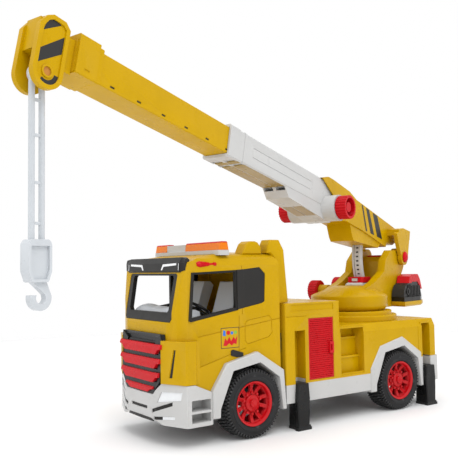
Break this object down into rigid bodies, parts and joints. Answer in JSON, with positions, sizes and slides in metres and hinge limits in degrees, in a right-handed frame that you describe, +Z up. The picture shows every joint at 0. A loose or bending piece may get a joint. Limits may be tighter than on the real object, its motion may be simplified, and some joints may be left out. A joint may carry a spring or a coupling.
{
  "type": "toy crane truck",
  "caption": "Toy crane truck with an open cab, sliding legs, opening lockers and a turning crane whose boom lifts, slides out and hangs a hook from a stiff link.",
  "frame": {"origin": "on the ground under the slewing axis of the crane", "axes": "+X to the front of the truck, +Y to its left, +Z up"},
  "size_m": [0.7073, 0.2755, 0.4128],
  "materials": {
    "black": "moulded plastic, satin gloss",
    "steel": "bright drawn steel",
    "white": "moulded plastic, glossy",
    "clear": "clear moulded plastic lens",
    "red": "moulded plastic, glossy",
    "dark": "dark moulded plastic, satin",
    "yellow": "moulded plastic, glossy",
    "grey": "light grey moulded plastic",
    "amber": "tinted translucent lens",
    "tyre": "soft moulded tyre",
    "rim": "moulded plastic, glossy",
    "silver": "light grey moulded plastic, glossy"
  },
  "bodies": {
    "truck": {"chassis": "black", "axles": "steel", "lower_skirt": "white", "front_arches": "white", "front_bumper": "white", "headlamps": "clear", "grille": "black", "grille_bars": "red", "corner_panels": "yellow", "dark_trim": "dark", "cab_shell": "yellow", "window_frames": "dark", "screen_frame": "dark", "roof_ducts": "yellow", "visor": "dark", "light_bar_base": "white", "light_bar_lenses": "amber", "air_horns": "red", "seats": "grey", "dashboard": "grey", "steering_wheel": "black", "body_shell": "yellow", "deck_ring": "yellow", "slew_post": "grey"},
    "door_left": {"roller_door_left": "red"},
    "door_right": {"roller_door_right": "red"},
    "turret": {"turret": "yellow", "tail_tray": "yellow", "engine_block": "dark", "engine_hood": "red", "rack_collar": "red", "rack_foot": "white", "hinge_pin": "red"},
    "knob_front": {"turret_knob_front": "red"},
    "knob_rear": {"turret_knob_rear": "red"},
    "button": {"release_button": "white"},
    "boom": {"base_boom": "yellow", "lift_rack": "white", "sleeve": "white"},
    "extension_knob": {"pinion_shaft": "grey", "boom_knobs": "red"},
    "inner_boom": {"inner_boom": "yellow", "rack_bar": "black", "boom_head": "yellow", "tip_pin": "black"},
    "link": {"hook_link": "silver", "hook": "silver"},
    "wheel_front_left": {"tyre_front_left": "tyre", "rim_front_left": "rim"},
    "wheel_front_right": {"tyre_front_right": "tyre", "rim_front_right": "rim"},
    "wheel_rear_left": {"tyre_rear_left": "tyre", "rim_rear_left": "rim"},
    "wheel_rear_right": {"tyre_rear_right": "tyre", "rim_rear_right": "rim"},
    "stabiliser_front_left": {"stabiliser_front_left": "black"},
    "stabiliser_front_right": {"stabiliser_front_right": "black"},
    "stabiliser_rear_left": {"stabiliser_rear_left": "black"},
    "stabiliser_rear_right": {"stabiliser_rear_right": "black"}
  },
  "joints": [
    {"name": "spin_front_left", "type": "hinge", "parent": "truck", "child": "wheel_front_left", "pos_m": [0.24, 0, 0.04], "axis": [0, 1, 0], "continuous": true},
    {"name": "spin_front_right", "type": "hinge", "parent": "truck", "child": "wheel_front_right", "pos_m": [0.24, 0, 0.04], "axis": [0, 1, 0], "continuous": true},
    {"name": "spin_rear_left", "type": "hinge", "parent": "truck", "child": "wheel_rear_left", "pos_m": [-0.013, 0, 0.04], "axis": [0, 1, 0], "continuous": true},
    {"name": "spin_rear_right", "type": "hinge", "parent": "truck", "child": "wheel_rear_right", "pos_m": [-0.013, 0, 0.04], "axis": [0, 1, 0], "continuous": true},
    {"name": "slide_front_left", "type": "slide", "parent": "truck", "child": "stabiliser_front_left", "axis": [0, 0, 1], "range_m": [0, 0.054]},
    {"name": "slide_front_right", "type": "slide", "parent": "truck", "child": "stabiliser_front_right", "axis": [0, 0, 1], "range_m": [0, 0.054]},
    {"name": "slide_rear_left", "type": "slide", "parent": "truck", "child": "stabiliser_rear_left", "axis": [0, 0, 1], "range_m": [0, 0.054]},
    {"name": "slide_rear_right", "type": "slide", "parent": "truck", "child": "stabiliser_rear_right", "axis": [0, 0, 1], "range_m": [0, 0.054]},
    {"name": "door_left", "type": "hinge", "parent": "truck", "child": "door_left", "pos_m": [0.1537, 0.0806, 0.0957], "axis": [0, 0, -1], "range_deg": [0, 100]},
    {"name": "door_right", "type": "hinge", "parent": "truck", "child": "door_right", "pos_m": [0.1537, -0.0806, 0.0957], "axis": [0, 0, 1], "range_deg": [0, 100]},
    {"name": "slew", "type": "hinge", "parent": "truck", "child": "turret", "pos_m": [0, 0, 0.13], "axis": [0, 0, 1], "range_deg": [-125, 91]},
    {"name": "turn_knob_front", "type": "hinge", "parent": "turret", "child": "knob_front", "pos_m": [0.00225, -0.05832, 0.161], "axis": [-0.294, 0.9558, 0], "continuous": true},
    {"name": "turn_knob_rear", "type": "hinge", "parent": "turret", "child": "knob_rear", "pos_m": [-0.05661, -0.06764, 0.165], "axis": [-0.294, 0.9558, 0], "continuous": true},
    {"name": "press_release", "type": "slide", "parent": "turret", "child": "button", "axis": [-0.9558, -0.294, 0], "range_m": [0, 0.0008], "stiffness_N_per_m": 200},
    {"name": "boom_lift", "type": "hinge", "parent": "turret", "child": "boom", "pos_m": [-0.10705, -0.03293, 0.211], "axis": [0.294, -0.9558, 0], "range_deg": [-8, 34]},
    {"name": "boom_extend", "type": "slide", "parent": "boom", "child": "inner_boom", "axis": [0.9366, 0.2881, 0.1994], "range_m": [-0.126, 0]},
    {"name": "turn_extension_knob", "type": "hinge", "parent": "boom", "child": "extension_knob", "pos_m": [0.08554, 0.02632, 0.2765], "axis": [-0.294, 0.9558, 0], "range_deg": [-964, 2]},
    {"name": "hook_swing", "type": "hinge", "parent": "inner_boom", "child": "link", "pos_m": [0.52664, 0.16202, 0.36297], "axis": [-0.294, 0.9558, 0], "range_deg": [-45, 45]}
  ],
  "couplings": [
    {"joint": "turn_extension_knob", "follows": "boom_extend", "rad_per_m": 133.33}
  ]
}
